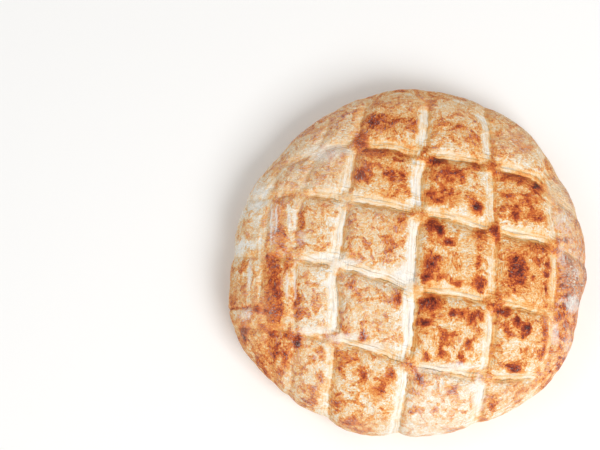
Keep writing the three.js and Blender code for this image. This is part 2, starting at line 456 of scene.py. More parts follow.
SCORCH_MIDDLE = [
    (-91, 16, 5, 4, 0.45), (-81, 19, 2, 3, 0.62), (-70, 24, 2, 5, 0.65), (-60, 20, 1.5, 7, 0.62),
    (-71, 10, 3, 6, 0.70), (-61, 5, 2, 4, 0.62), (-51, 17, 4, 4, 0.48), (-46, 4, 3, 2, 0.58),
    (-32, 17, 2, 3, 0.6), (-33, 10, 2, 2, 0.55), (-32, -1, 3, 2, 0.6), (-10, 13, 6, 5, 0.52),
    (-6, 17, 4, 4, 0.62), (-12, 0, 2, 3, 0.5), (-5, 6, 1, 3, 0.52), (-22, 6, 1, 2, 0.55),
    (12, 15, 4, 3, 0.8), (15, 12, 2, 3, 0.95), (20, 6, 2, 2, 0.85), (16, 5, 4, 1, 0.55),
    (10, -5, 4, 4, 0.88), (9, -13, 3, 4, 0.95), (15, -12, 3, 3, 0.65), (24, -17, 3, 2, 0.95),
    (36, -6, 2, 3, 0.85), (36, -17, 3, 3, 0.92), (38, 10, 4, 3, 0.68), (46, 12, 2, 5, 0.88),
    (30, -2, 6, 1, 0.5), (36, 2, 2, 3, 0.55), (58, -8, 4, 8, 0.88), (58, -15, 3, 2, 1.0),
    (64, -11, 3, 3, 0.7), (51, -16, 3, 4, 0.6), (55, 0, 3, 3, 0.62), (74, -11, 2, 2, 0.95),
    (75, -5, 2, 4, 0.75), (76, 4, 3, 3, 0.8), (67, 5, 5, 2, 0.6), (74, -18, 1, 5, 0.8),
    (67, -4, 3, 3, 0.5), (86, 9, 6, 1.5, 0.8), (94, 4, 2, 3, 0.75), (92, 21, 4, 1, 0.75),
    (88, -4, 2, 3, 0.95), (86, -14, 4, 2, 0.65), (95, -9, 1.5, 11, 0.75), (44, -24, 5, 4, 0.6),
]
SCORCH_LEFT_EDGE = [
    (-76, -24, 4, 34, 0.76), (-73, 14, 3, 14, 0.66), (-75, -15, 3, 12, 0.90), (-74, -30, 3, 6, 0.78),
    (-75, -41, 2, 6, 0.78), (-69, -45, 2, 3, 0.7), (-78, 1, 3, 3, 0.6),
    (-68, -2, 2, 7, 0.58), (-74, -49, 2, 2, 0.78), (-70, -57, 2, 4, 0.85), (-73, -63, 2, 4, 0.7),
    (-63, -27, 2, 7, 0.65), (-63, -48, 2, 3, 1.0), (-63, -58, 3, 5, 0.55), (-93, -6, 3, 2, 0.6),
    (-93, -15, 2, 4, 0.6), (-97, -19, 1, 5, 0.6), (-84, -29, 3, 2, 0.9), (-92, -41, 2, 5, 0.93),
    (-81, -38, 4, 3, 0.6), (-84, -47, 2, 3, 0.6), (-82, -56, 3, 2, 0.65), (-79, -64, 3, 3, 0.62),
]
SCORCH_FOURTH = [
    (-48, -27, 2, 5, 0.42), (-33, -18, 3, 2, 0.7), (-28, -25, 2, 2, 0.66), (-9, -25, 3, 3, 0.85),
    (-38, -36, 1, 3, 0.72), (-36, -43, 2, 3, 0.8), (-27, -45, 2, 2, 0.75), (-18, -43, 5, 1, 0.5),
    (-14, -52, 2, 2, 0.46), (10, -28, 5, 4, 1.0), (6, -38, 3, 2, 0.9), (12, -34, 4, 3, 0.65),
    (21, -33, 2, 2, 0.95), (27, -33, 2, 2, 0.9), (32, -36, 2, 3, 0.88), (37, -34, 2, 3, 0.85),
    (20, -46, 4, 3, 0.68), (15, -53, 2, 4, 0.9), (7, -57, 2, 2, 0.9), (26, -58, 2, 2, 0.92),
    (30, -50, 2, 2, 0.85), (50, -32, 3, 2, 1.0), (51, -42, 2, 3, 0.92), (57, -37, 2, 3, 0.86),
    (62, -40, 2, 3, 0.95), (60, -44, 2, 2, 0.7), (73, -44, 1.5, 9, 0.82), (72, -54, 2, 3, 0.74),
    (61, -53, 2, 2, 0.72), (55, -62, 3, 3, 0.9), (77, -28, 3, 2, 0.7), (82, -33, 3, 2, 0.9),
    (88, -38, 3, 2, 0.85), (72, -63, 4, 3, 0.6), (82, -59, 1, 3, 0.8),
]
SCORCH_FRONT = [
    (54, -74, 7, 1, 0.46), (38, -67, 5, 3, 0.56), (44, -79, 3, 4, 0.6), (37, -90, 3, 1, 0.6),
    (21, -73, 4, 2, 0.65), (3, -68, 3, 3, 0.72), (3, -76, 3, 3, 0.55), (22, -95, 5, 1, 0.6),
    (-35, -57, 6, 3, 0.68), (-39, -63, 2, 2, 0.86), (-27, -65, 2, 3, 0.8), (-12, -65, 2, 3, 0.76),
    (-19, -74, 4, 4, 0.7), (-41, -81, 3, 3, 0.75), (-33, -91, 5, 2, 0.8), (-27, -95, 3, 2, 0.7),
    (-51, -71, 2, 5, 0.52), (-60, -79, 5, 2, 0.52), (-13, -84, 4, 2, 0.48), (-44, -46, 4, 3, 0.5),
]
SCORCH = (
    SCORCH_BACK + SCORCH_SECOND + SCORCH_MIDDLE + SCORCH_LEFT_EDGE + SCORCH_FOURTH + SCORCH_FRONT
)
print(len(SCORCH), "scorch marks")

# %% [markdown]
# ## How far the crust is baked
#
# One number says how brown a spot is, from 0 (raw white) to 1 (charred). It starts from how strongly
# each pillow caught the heat. The slopes that face the front right, towards the key lamp, are paler:
# partly less baked, partly painted light. A channel stays almost white on its gentle side, which faces
# the lamp, and cream on its short side, which faces away: pale dough, with painted light on the one and
# painted shade on the other. Where two channels cross, the bridge stands up into the heat and browns
# again.

# %% Bake of pillows and channels
# Bake of each pillow, by row from back to front and column from left to right. The left end of the middle
# rows, which faces away from the lamp, is kept paler, partly as painted light.
PILLOW_BAKE_AND_LIGHT = [
    [0.38, 0.36, 0.35, 0.37, 0.35, 0.34, 0.42],
    [0.29, 0.34, 0.39, 0.38, 0.32, 0.35, 0.43],
    [0.15, 0.24, 0.33, 0.34, 0.33, 0.42, 0.66],
    [0.32, 0.37, 0.32, 0.34, 0.33, 0.34, 0.48],
    [0.44, 0.43, 0.34, 0.30, 0.25, 0.30, 0.42],
]
PILLOW_BLEND = 14.0  # mm over which one pillow gives way to the next
# A channel's gentle slope faces the lamp and is kept white, partly pale dough and partly painted light; its
# short slope faces away and is darker cream, partly painted shade.
LIT_GENTLE_BAKE_Y = 0.0  # beside the marks that run from back to front
LIT_GENTLE_BAKE_X = 0.13  # beside the marks that run from left to right
SHADED_STEEP_BAKE = 0.29
FAINT_BROWNING = 0.28  # what the faintest mark browns more than a full one
FAINT_BAND = 0.2  # how much of the faintest mark's band shows
BAND_EDGE = (-1.2, 1.4)  # mm past the band over which it gives way to the pillow
BAND_RAGGED = (1.7, 0.8)  # mm by which that edge strays, in short bends and in grain
PALE_EDGE = 7.0  # mm of paler skin on a pillow beside a channel, partly painted light on the slope that faces the lamp
FRONT_PALING_AND_LIGHT = 0.13  # on the slope that faces the front or the right, towards the lamp: partly less baked, partly painted light
BACK_PALING = 0.03  # on the slope across the channel from it, over half that width
UNEVEN_BAKE = (0.05, 0.03)  # what lumps and broad swells add
BRIDGE_BAKE = 0.50
BRIDGE_SIZE = 5.5  # mm from the crossing
BRIDGE_EDGE = (0.3, 1.3)  # shares of that size, between which its browning ends
BRIDGE_RAGGED = (2.2, 1.2)  # mm by which its edge strays, in short bends and in lumps


def over_pillows(table):
    """A value that follows a table of pillows and blends between them."""
    total, weights = np.zeros(len(X)), np.full(len(X), 1e-9)
    for row, values in zip(ROWS, table):
        for column, value in zip(COLUMNS, values):
            gap = np.hypot(column_place - column, row_place - row)
            weight = np.exp(-((gap / PILLOW_BLEND) ** 2))
            total += weight * value
            weights += weight
    return total / weights


def in_band(past_crease, beyond, strength, lit_gentle_bake, roughen):
    """How surely a point lies in the pale band of a mark, and the bake of that band: pale dough, with
    painted light on its gentle side and painted shade on its short side.
    """
    inside = 1 - fade(beyond + roughen, *BAND_EDGE)
    lit_and_shaded_band_bake = np.where(past_crease < 0, lit_gentle_bake, SHADED_STEEP_BAKE) + FAINT_BROWNING * (1 - strength)
    return inside * (FAINT_BAND + (1 - FAINT_BAND) * strength), lit_and_shaded_band_bake


tan = over_pillows(PILLOW_BAKE_AND_LIGHT) + UNEVEN_BAKE[0] * lumps + UNEVEN_BAKE[1] * broad
for past, beyond, strength in ((past_y, beyond_y, strength_y), (past_x, beyond_x, strength_x)):
    # Slopes facing the front right, towards the lamp, are made paler: partly less baked, partly painted
    # light.
    lit_front_slope = (past < 0) * strength * (1 - fade(beyond, 0, PALE_EDGE))
    back_slope = (past > 0) * strength * (1 - fade(beyond, 0, 0.5 * PALE_EDGE))
    tan -= FRONT_PALING_AND_LIGHT * lit_front_slope + BACK_PALING * back_slope
ragged_x, ragged_y = (BAND_RAGGED[0] * drag + BAND_RAGGED[1] * grain for drag in (drag_x, drag_y))
band_y, bake_y = in_band(past_y, beyond_y, strength_y, LIT_GENTLE_BAKE_Y, ragged_x)
band_x, bake_x = in_band(past_x, beyond_x, strength_x, LIT_GENTLE_BAKE_X, ragged_y)
channel = np.maximum(band_y, band_x)
bake = tan + (np.where(band_y > band_x, bake_y, bake_x) - tan) * channel
bridge_size = BRIDGE_SIZE + BRIDGE_RAGGED[0] * drag_x + BRIDGE_RAGGED[1] * lumps
bridge = browned * (1 - fade(to_crossing / np.maximum(bridge_size, 2), *BRIDGE_EDGE))
bake += (BRIDGE_BAKE - bake) * bridge
sheltered = np.maximum(band_y * (past_y < 0), band_x * (past_x < 0)) * (1 - bridge)
print(f"pillows and channels baked from {bake.min():.2f} to {bake.max():.2f}")

# %% [markdown]
# Under the widest line the bread was hidden from the fire by its own bulge, so the side is pale there,
# and the last millimetres, which touched the oven floor, are brown again. Each scorch mark is laid over
# that, darkest in its middle, and weaker in the sheltered part of a channel. The same loop notes where
# the skin stands up in a blister. Last comes a thin crack, where the skin split at the left edge.

# %% Bake of the side, and the scorch marks
SIDE_BAKE = 0.26
FOOT_BAKE = 0.50
BULGE_SHADE = (1, 11)  # mm under the widest line, over which the side grows pale
FOOT_EDGE = (0.5, 3.5)  # mm above the floor, over which the brown foot ends
SCORCH_RAGGED = 1.6  # mm by which the edge of a scorch mark strays
SCORCH_EDGE = (0.2, 2.1)  # shares of its half width, between which a mark fades out
BLISTER_EDGE = (0.2, 1.5)  # and between which its blister does
SCORCH_SHELTER = 0.85  # how much of a scorch mark the sheltered side of a channel keeps off
SCORCH_FULL = 0.87  # bake in the middle of a mark of darkness 1
BLISTER_FROM = 0.6  # darkness from which the skin stands up
CRACK_Y = -28.0  # mm
CRACK_HALF_WIDTH = 0.7  # mm
CRACK_RAGGED = 0.9  # mm by which it strays
CRACK_START = (84, 90)  # mm to the left of the middle, over which it opens
CRACK_BAKE = 0.70

under_bulge = fade(WAIST_HEIGHT - height, *BULGE_SHADE)
bake += (SIDE_BAKE + 0.08 * lumps - bake) * under_bulge
bake += (FOOT_BAKE - bake) * (1 - fade(height + 0.8 * lumps, *FOOT_EDGE))
base = bake.copy()
blister = np.zeros(len(X))
for x, y, half_width, half_length, dark in SCORCH:
    near = (np.abs(X - x) < 3 * half_width + 4) & (np.abs(Y - y) < 3 * half_length + 4) & (height > 4)
    gap_x = (X[near] - x + SCORCH_RAGGED * drag_x[near]) / half_width
    gap_y = (Y[near] - y + SCORCH_RAGGED * drag_y[near]) / half_length
    gap = np.hypot(gap_x, gap_y)
    cover = (1 - fade(gap, *SCORCH_EDGE)) * (1 - SCORCH_SHELTER * sheltered[near])
    bake[near] = np.maximum(bake[near], base[near] + (dark * SCORCH_FULL - base[near]) * cover)
    raised = (1 - fade(gap, *BLISTER_EDGE)) * max(dark - BLISTER_FROM, 0)
    blister[near] = np.maximum(blister[near], raised)
off_crack = (Y - CRACK_Y + CRACK_RAGGED * drag_y) / CRACK_HALF_WIDTH
crack = np.exp(-(off_crack**2)) * fade(-X, *CRACK_START)
bake += (CRACK_BAKE - bake) * crack * (1 - under_bulge)
print(f"bake from {bake.min():.2f} to {bake.max():.2f}")

# %% [markdown]
# All that was worked out so far now moves the skin, each point along the way that it faces: in for the
# press marks and the crack, and in or out for swells, lumps, knobs, grain and blisters. The push fades
# under the widest line, so that the foot stays flat on the table.

# %% Move the skin
UNEVENNESS = [(broad, 0.6), (lumps, 0.4), (knobs, 0.28), (grain, 0.12)]  # each with its mm
BLISTER_LIFT = 1.3  # times the darkness past BLISTER_FROM gives mm, so 0.5 mm for the darkest
SETTLING = 0.5  # mm that the whole skin is drawn in, to leave room for its lumps
CRACK_DEPTH = 1.0  # mm

body_fade = np.clip(height / WAIST_HEIGHT, 0, 1)
lift = sum(mm * pattern for pattern, mm in UNEVENNESS)
lift += BLISTER_LIFT * blister
moved = smooth_skin + outwards * ((lift - SETTLING - depth - CRACK_DEPTH * crack) * body_fade)[:, None]
moved[:, 2] = np.maximum(moved[:, 2], 0)
write(skin, moved * MM + np.array([MIDDLE.x, MIDDLE.y, cad_low.z]))
print(f"bread {np.ptp(moved[:, 0]):.1f} x {np.ptp(moved[:, 1]):.1f} x {np.ptp(moved[:, 2]):.1f} mm")

# %% [markdown]
# ## What the crust remembers
#
# The finish needs the same facts at every point of the skin: how baked it is, how mottled, how much
# flour and pale ash lie on it, whether it was drawn out along the side, and how far along and past the
# nearest crease it is, so that streaks can run with the channel. They are stored on the mesh as
# attributes, and the material reads them.

# %% Facts for the finish
PILLOW_FLOUR = [
    [0.20, 0.40, 0.55, 0.25, 0.30, 0.30, 0.40],
    [0.40, 0.50, 0.45, 0.15, 0.10, 0.10, 0.40],
    [0.30, 0.40, 0.40, 0.40, 0.10, 0.10, 0.40],
    [0.20, 0.20, 0.50, 0.45, 0.10, 0.20, 0.50],
    [0.20, 0.20, 0.40, 0.25, 0.60, 0.40, 0.30],
]
FLOUR_PATCHES = [
    (89, -26, 7, 6, 0.75), (79, -43, 3, 9, 0.65), (84, 0, 4, 8, 0.5), (92, -9, 3, 5, 0.6),
    (-38, -5, 12, 3, 0.8), (-20, -11, 10, 3, 0.8), (-38, -46, 12, 3, 0.7), (-22, -51, 10, 3, 0.7),
    (36, -76, 5, 11, 0.85), (87, -48, 5, 14, 0.5), (-46, 58, 14, 7, 0.7), (-91, -32, 5, 4, 0.6),
    (-4, -12, 9, 8, 0.8), (-60, 9, 4, 6, 0.5), (84, 19, 8, 10, 0.5), (-76, 20, 4, 14, 0.5),
    (-48, -2, 14, 3, 0.8), (-52, -42, 12, 3, 0.8), (10, -63, 14, 3, 0.7), (22, -62, 12, 3, 0.8),
    (-86, 36, 8, 12, 0.5),
]
# Thin ridges on the left, rubbed white where a bar only brushed the dough.
RUBBED_RIDGES = [
    (-77, 20, 0.8, 14, 1.0), (-74, 20, 0.8, 14, 0.9), (-67, 20, 0.7, 9, 1.0), (-64, 20, 0.7, 9, 0.9),
    (-68, -17, 0.7, 11, 0.9), (-64, -16, 0.7, 12, 0.9), (-89, -11, 1.2, 10, 0.8),
]
ASH_PATCHES = [
    (-60, 55, 34, 26, 0.30), (-20, 89, 40, 7, 0.14), (35, 85, 40, 9, 0.16), (88, 32, 11, 22, 0.55),
    (68, 66, 22, 12, 0.35), (92, 0, 9, 32, 0.50), (-84, 21, 16, 24, 0.20), (-34, 29, 8, 20, 0.16),
    (-38, -21, 6, 16, 0.12), (-88, -30, 12, 26, 0.16), (-62, -72, 18, 14, 0.14), (60, -76, 22, 10, 0.16),
    (-5, -95, 60, 7, 0.25),
]
PATCH_RAGGED = 0.3  # share of its half width by which the edge of a patch strays
PATCH_FADE = (0.3, 1.4)  # shares of its half width, between which a patch fades out


def patches(spots):
    """Soft patches given one by one, each (x, y, half width, half length, strength)."""
    total = np.zeros(len(X))
    for x, y, half_width, half_length, strength in spots:
        gap = np.hypot((X - x) / half_width, (Y - y) / half_length) + PATCH_RAGGED * drag_x
        total = np.maximum(total, strength * (1 - fade(gap, *PATCH_FADE)))
    return total


SKIN_LENGTH = 125.0  # mm from the crown to the foot, along the skin
RING_STRETCH = 0.16  # streaks round the sides are about six times as long as they are wide
CREASE_ENDS = (8, 22)  # mm above the floor, over which creases come in
CREASE_NEAR = (6, 9)  # mm from a mark, over which its crease ends
CREASE_BRIDGED = (0.1, 0.6)  # height of a bridge, as a share, over which the crease under it ends
CREASE_SHARE_Y = 0.65  # creases that run from back to front show less


def crease_frame(along, past, strength, to_mark):
    """Along the mark, past its crease, and how clearly the crease shows here."""
    clear = strength * (1 - fade(crossing, *CREASE_BRIDGED)) * (1 - fade(to_mark, *CREASE_NEAR))
    clear *= fade(height, *CREASE_ENDS)
    return np.column_stack([along * MM, past * MM, clear])


def remember(name, values):
    """Stores one number or one vector for each vertex."""
    kind, field = ("FLOAT_VECTOR", "vector") if np.ndim(values) == 2 else ("FLOAT", "value")
    skin.attributes.new(name, kind, "POINT").data.foreach_set(field, np.ravel(values))


# %% Store the facts
CHANNEL_CALM = 0.8  # how much of the browning pattern a channel hides
ASH_CALM = 0.5
SCORCH_CALM = 0.2
SCORCHED_BY = (0.05, 0.3)  # bake added by scorch marks, over which a spot counts as scorched
FLOURED_MOTTLE = (0.85, 0.7)  # a floured pillow shows its pattern more: the least, and what flour adds
DRAWN_FROM = (0.82, 0.94)  # share of the way out, over which the skin starts to look drawn
DRAWN_LEFT = (0.10, 30, 60)  # starts this much further in on the left, from 30 to 60 mm out
DRAWN_UNEVEN = (0.65, 0.7, 0.15)  # on average, how much it varies, and the least
FLOUR_FILM = 0.6  # of the flour on a pillow, what lies there outside the patches

ash = patches(ASH_PATCHES)
scorched = fade(bake - base, *SCORCHED_BY)
floured = over_pillows(PILLOW_FLOUR)
mottle = (1 - CHANNEL_CALM * channel * (1 - bridge)) * (1 - ASH_CALM * ash)
mottle *= FLOURED_MOTTLE[0] + FLOURED_MOTTLE[1] * floured
mottle *= 1 - SCORCH_CALM * scorched
flour = np.maximum(floured * FLOUR_FILM, patches(FLOUR_PATCHES + RUBBED_RIDGES)) * (1 - under_bulge)
drawn = fade(share + DRAWN_LEFT[0] * fade(-X, *DRAWN_LEFT[1:]), *DRAWN_FROM)
drawn *= np.clip(DRAWN_UNEVEN[0] + DRAWN_UNEVEN[1] * slow_x, DRAWN_UNEVEN[2], 1)

# The bake also carries painted light on the slopes that face the lamp and painted shade on the short slopes
# of the channels.
remember("bake", bake)
remember("mottle", mottle)
remember("flour", flour)
remember("ash", ash)
remember("drawn", drawn)
remember("rings", np.column_stack([run * SKIN_LENGTH, X * RING_STRETCH, Y * RING_STRETCH]) * MM)
remember("press_y", crease_frame(along_y, past_y, CREASE_SHARE_Y * strength_y, to_y))
remember("press_x", crease_frame(along_x, past_x, strength_x, to_x))
print("stored:", ", ".join(a.name for a in skin.attributes if a.domain == "POINT"))

# %% [markdown]
# ## The underside
#
# The floor of the oven left the underside flat. The open rim of the sheet is drawn in towards the
# middle in a few rings, by extruding and shrinking its edge, and the last ring is merged to a point.
# The sheet still has the square map of its grid, which becomes the map that a painted texture would
# use: the top takes most of it, and the underside gets a small square in the corner.

# %% Close the underside
UNDER_RINGS = [0.97, 0.86, 0.66, 0.40]  # size of each ring, as a share of the foot

bpy.ops.object.mode_set(mode="EDIT")
bpy.ops.mesh.select_all(action="DESELECT")
bpy.ops.mesh.select_mode(type="EDGE")
bpy.ops.mesh.select_non_manifold()
size_now = 1.0
for size in UNDER_RINGS:
    bpy.ops.mesh.extrude_edges_move()
    bpy.ops.transform.resize(value=(size / size_now, size / size_now, 1))
    size_now = size
bpy.ops.mesh.extrude_edges_move()
bpy.ops.mesh.merge(type="CENTER")
bpy.ops.mesh.select_all(action="SELECT")
bpy.ops.mesh.normals_make_consistent(inside=False)
bpy.ops.object.mode_set(mode="OBJECT")
bpy.ops.object.shade_smooth()
print(len(skin.polygons), "faces,", sum(len(p.vertices) - 2 for p in skin.polygons), "triangles")

# %% Facts and map of the underside
UNDER_FACTS = {"bake": 0.40, "mottle": 1.0, "flour": 0.45, "ash": 0.0, "drawn": 0.0}
ON_THE_FLOOR = 0.01  # mm, closer to the floor than this counts as underneath
MAP_MARGIN = 0.005  # all of these are shares of the side of the map
TOP_SHARE = 0.80
UNDER_CORNER = 0.815
UNDER_SHARE = 0.18

places = read(skin)
underneath = places[:, 2] < cad_low.z + ON_THE_FLOOR * MM
for name, value in UNDER_FACTS.items():
    known = np.empty(len(places))
    skin.attributes[name].data.foreach_get("value", known)
    known[underneath] = value
    skin.attributes[name].data.foreach_set("value", known)

corners = np.empty(len(skin.loops), int)
skin.loops.foreach_get("vertex_index", corners)
map_layer = skin.uv_layers[0]
map_layer.name = "OFBake"
spread = np.empty(2 * len(corners))
map_layer.data.foreach_get("uv", spread)
spread = MAP_MARGIN + spread.reshape(-1, 2) * TOP_SHARE
face_starts = np.array([p.loop_start for p in skin.polygons])
face_sizes = np.array([p.loop_total for p in skin.polygons])
face_under = np.minimum.reduceat(underneath[corners], face_starts)
corner_under = np.repeat(face_under, face_sizes)
flat = (places[:, :2] - [cad_low.x, cad_low.y]) / max(cad_high - cad_low)
spread[corner_under] = UNDER_CORNER + flat[corners[corner_under]] * UNDER_SHARE
map_layer.data.foreach_set("uv", spread.ravel())
print(int(face_under.sum()), "faces underneath")

# %% [markdown]
# ## Crust
#
# Baked wheat crust: starch that set matt and dry, browned by heat. Its colour runs from raw flour white
# through cream, gold and red-brown to char. One ramp gives that whole run, read with the bake number,
# so every pattern below only has to push the bake up or down, and the colours stay true to bread.

# %% Helpers for materials
def colour(hex_text):
    """An sRGB hex value as linear red, green, blue and alpha."""
    parts = [int(hex_text[i : i + 2], 16) / 255 for i in (1, 3, 5)]
    return [c / 12.92 if c <= 0.04045 else ((c + 0.055) / 1.055) ** 2.4 for c in parts] + [1.0]


def add_node(tree, kind, inputs, output=0, **settings):
    """Adds a node and gives one output. Each input is a number, a colour or the socket that feeds it."""
    node = tree.nodes.new("ShaderNode" + kind)
    for name, value in settings.items():
        setattr(node, name, value)
    for name, value in inputs.items():
        if isinstance(value, bpy.types.NodeSocket):
            tree.links.new(value, node.inputs[name])
        else:
            node.inputs[name].default_value = value
    return node.outputs[output] if len(node.outputs) else None


# %% A material that knows the facts
crust = bpy.data.materials.new("baked_wheat_crust")
crust.use_nodes = True
tree = crust.node_tree
tree.nodes.clear()
place = add_node(tree, "TexCoord", {}, "Object")
facts = {
    name: add_node(tree, "Attribute", {}, "Fac", attribute_name=name)
    for name in ("bake", "mottle", "flour", "ash", "drawn")
}
frames = {
    name: add_node(tree, "Attribute", {}, "Vector", attribute_name=name) for name in ("press_y", "press_x")
}
rings = add_node(tree, "Attribute", {}, "Vector", attribute_name="rings")
print("the crust reads", ", ".join([*facts, *frames]))

# %% [markdown]
# ### Patches and freckles
#
# A crust doesn't brown evenly. The skin is cream where it's thick and goes rust-orange where it's thin,
# in patches of under a centimetre with smaller ones between them, and small bubbles make freckles of
# about two millimetres. A plain noise would only cloud the colour, so the noise is cut to a narrow
# range, which gives patches with edges. Freckles come from a cell pattern: a dot in the middle of some
# of the cells.

# %% Patches and freckles
PATCH_SIZE = 7.0  # mm
PATCH_EDGE = (0.46, 0.62)  # the part of the noise that becomes the edge of a patch
PATCH_BROWNING = 0.24
SMALL_PATCH = 3.2  # mm
SMALL_EDGE = (0.50, 0.60)
SMALL_BROWNING = 0.10
FRECKLE_SPACING = 6.5  # mm
FRECKLE_WOBBLE = 2.2  # mm by which the outline of a freckle strays
FRECKLE_SIZE = 0.42  # of the largest, as a share of its cell
BARE_CELLS = 0.35  # share of the cells that have no freckle
FRECKLE_BROWNING = 0.24
EVEN_OUT = 0.075  # what patches and freckles add on average, taken off again

cloud = add_node(
    tree, "TexNoise",
    {"Vector": place, "Scale": 1 / (PATCH_SIZE * MM), "Detail": 4.0, "Roughness": 0.58, "Distortion": 0.9},
)
patch = add_node(
    tree, "MapRange", {"Value": cloud, "From Min": PATCH_EDGE[0], "From Max": PATCH_EDGE[1]},
    interpolation_type="SMOOTHSTEP",
)
small_cloud = add_node(
    tree, "TexNoise",
    {"Vector": place, "Scale": 1 / (SMALL_PATCH * MM), "Detail": 2.0, "Roughness": 0.6, "Distortion": 1.2},
)
small_patch = add_node(
    tree, "MapRange", {"Value": small_cloud, "From Min": SMALL_EDGE[0], "From Max": SMALL_EDGE[1]},
    interpolation_type="SMOOTHSTEP",
)
wobble = add_node(tree, "TexNoise", {"Vector": place, "Scale": 1 / (3 * MM), "Detail": 1.0}, "Color")
wobbled = add_node(
    tree, "VectorMath", {0: wobble, 1: (FRECKLE_WOBBLE * MM,) * 3, 2: place}, operation="MULTIPLY_ADD"
)
cell_inputs = {"Vector": wobbled, "Scale": 1 / (FRECKLE_SPACING * MM)}
from_cell_middle = add_node(tree, "TexVoronoi", cell_inputs, "Distance")
cell_luck = add_node(tree, "SeparateColor", {0: add_node(tree, "TexVoronoi", cell_inputs, "Color")})
dot_size = add_node(
    tree, "MapRange", {"Value": cell_luck, "From Min": BARE_CELLS, "To Max": FRECKLE_SIZE}
)
dot = add_node(
    tree, "MapRange",
    {"Value": from_cell_middle, "From Min": dot_size, "From Max": 0.0},
    interpolation_type="SMOOTHSTEP",
)
freckled = add_node(
    tree, "Math", {0: dot, 1: FRECKLE_BROWNING, 2: -EVEN_OUT}, operation="MULTIPLY_ADD"
)
browning = add_node(tree, "Math", {0: patch, 1: PATCH_BROWNING, 2: freckled}, operation="MULTIPLY_ADD")
browning = add_node(
    tree, "Math", {0: small_patch, 1: SMALL_BROWNING, 2: browning}, operation="MULTIPLY_ADD"
)
level = add_node(
    tree, "Math", {0: browning, 1: facts["mottle"], 2: facts["bake"]}, operation="MULTIPLY_ADD"
)
print("patches of", PATCH_SIZE, "mm and freckles every", FRECKLE_SPACING, "mm")

# %% [markdown]
# ### Wrinkles and speckle
#
# As the dough puffed, its dry skin stretched and left fine wrinkles, about a millimetre apart, that run
# one way on one pillow and another way on the next. Two noises drawn out in two directions, chosen by a
# third, broad one, give that. A fine speckle on top is the open texture of the dry crust. Thin pale
# curls lie between them, where flour stayed in a fold: lines along which a noise passes its middle.
# The real wrinkles and speckle are partly finer, and are drawn as coarse as they need to show.

# %% Wrinkles and speckle
WRINKLE_SPACING = 1.2  # mm
WRINKLE_BROWNING = 0.80
SPECKLE_SIZE = 1.0  # mm
SPECKLE_BROWNING = 0.64
CURL_SIZE = 5.0  # mm
CURL_WIDTH = 0.035  # how far from its middle the noise still counts as on the line
CURL_PALING = 0.11
REGION_SIZE = 22.0  # mm over which the wrinkles change their way
LEAST_FINE = 0.2  # share of the fine pattern that shows where the crust is calm
WRINKLE_WAYS = [((0.35, 1.0, 1.0), 0.35), ((1.0, 0.30, 1.0), 0.2)]  # stretch, and turn in radians

wrinkles = []
for stretch, turned in WRINKLE_WAYS:
    stretched = add_node(tree, "Mapping", {"Vector": place, "Scale": stretch, "Rotation": (0, 0, turned)})
    wrinkles.append(add_node(
        tree, "TexNoise",
        {"Vector": stretched, "Scale": 1 / (WRINKLE_SPACING * MM), "Detail": 2.0, "Distortion": 1.6},
    ))
region = add_node(tree, "TexNoise", {"Vector": place, "Scale": 1 / (REGION_SIZE * MM), "Detail": 1.0})
choice = add_node(tree, "MapRange", {"Value": region, "From Min": 0.44, "From Max": 0.56})
wrinkle = add_node(tree, "Mix", {0: choice, 2: wrinkles[0], 3: wrinkles[1]}, data_type="FLOAT")
speckle = add_node(
    tree, "TexNoise",
    {"Vector": place, "Scale": 1 / (SPECKLE_SIZE * MM), "Detail": 2.0, "Roughness": 0.75},
)
fine = add_node(
    tree, "Math", {0: wrinkle, 1: WRINKLE_BROWNING, 2: -(WRINKLE_BROWNING + SPECKLE_BROWNING) / 2},
    operation="MULTIPLY_ADD",
)
fine = add_node(tree, "Math", {0: speckle, 1: SPECKLE_BROWNING, 2: fine}, operation="MULTIPLY_ADD")
fine_share = add_node(
    tree, "MapRange", {"Value": facts["mottle"], "From Min": 0.2, "To Min": LEAST_FINE, "To Max": 1.0}
)
curl_noise = add_node(
    tree, "TexNoise",
    {"Vector": place, "Scale": 1 / (CURL_SIZE * MM), "Detail": 1.5, "Roughness": 0.6, "Distortion": 1.8},
)
off_curl = add_node(tree, "Math", {0: curl_noise, 1: 0.5}, operation="SUBTRACT")
off_curl = add_node(tree, "Math", {0: off_curl}, operation="ABSOLUTE")
curl = add_node(tree, "MapRange", {"Value": off_curl, "From Max": CURL_WIDTH, "To Min": 1.0, "To Max": 0.0})
fine = add_node(tree, "Math", {0: curl, 1: -CURL_PALING, 2: fine}, operation="MULTIPLY_ADD")
level = add_node(tree, "Math", {0: fine, 1: fine_share, 2: level}, operation="MULTIPLY_ADD")
print("wrinkles every", WRINKLE_SPACING, "mm")

# %% [markdown]
# ### Streaks
#
# Round the sides the skin was drawn out as the bread rose, and in the channels it was dragged along by
# the bars, so both have streaks. A noise turns into streaks when its coordinates are squeezed one way:
# on the sides the squeezed way runs round the bread, and in a channel it runs along the mark.

# %% Streaks on the sides and in the channels
SIDE_SPACING = 1.8  # mm
SIDE_STREAKS = 0.75
CHANNEL_SPACING = 1.3  # mm
CHANNEL_STREAKS = 0.62
STREAK_SQUEEZE = 0.06  # a streak in a channel is about seventeen times as long as it is wide
STREAK_MIDDLE = 0.46  # a little under the middle of the noise, so streaks brown more than they pale

side_streak = add_node(
    tree, "TexNoise", {"Vector": rings, "Scale": 1 / (SIDE_SPACING * MM), "Detail": 3.0}
)
side_streak = add_node(tree, "Math", {0: side_streak, 1: 0.5}, operation="SUBTRACT")
side_streak = add_node(tree, "Math", {0: side_streak, 1: facts["drawn"]}, operation="MULTIPLY")
level = add_node(tree, "Math", {0: side_streak, 1: SIDE_STREAKS, 2: level}, operation="MULTIPLY_ADD")

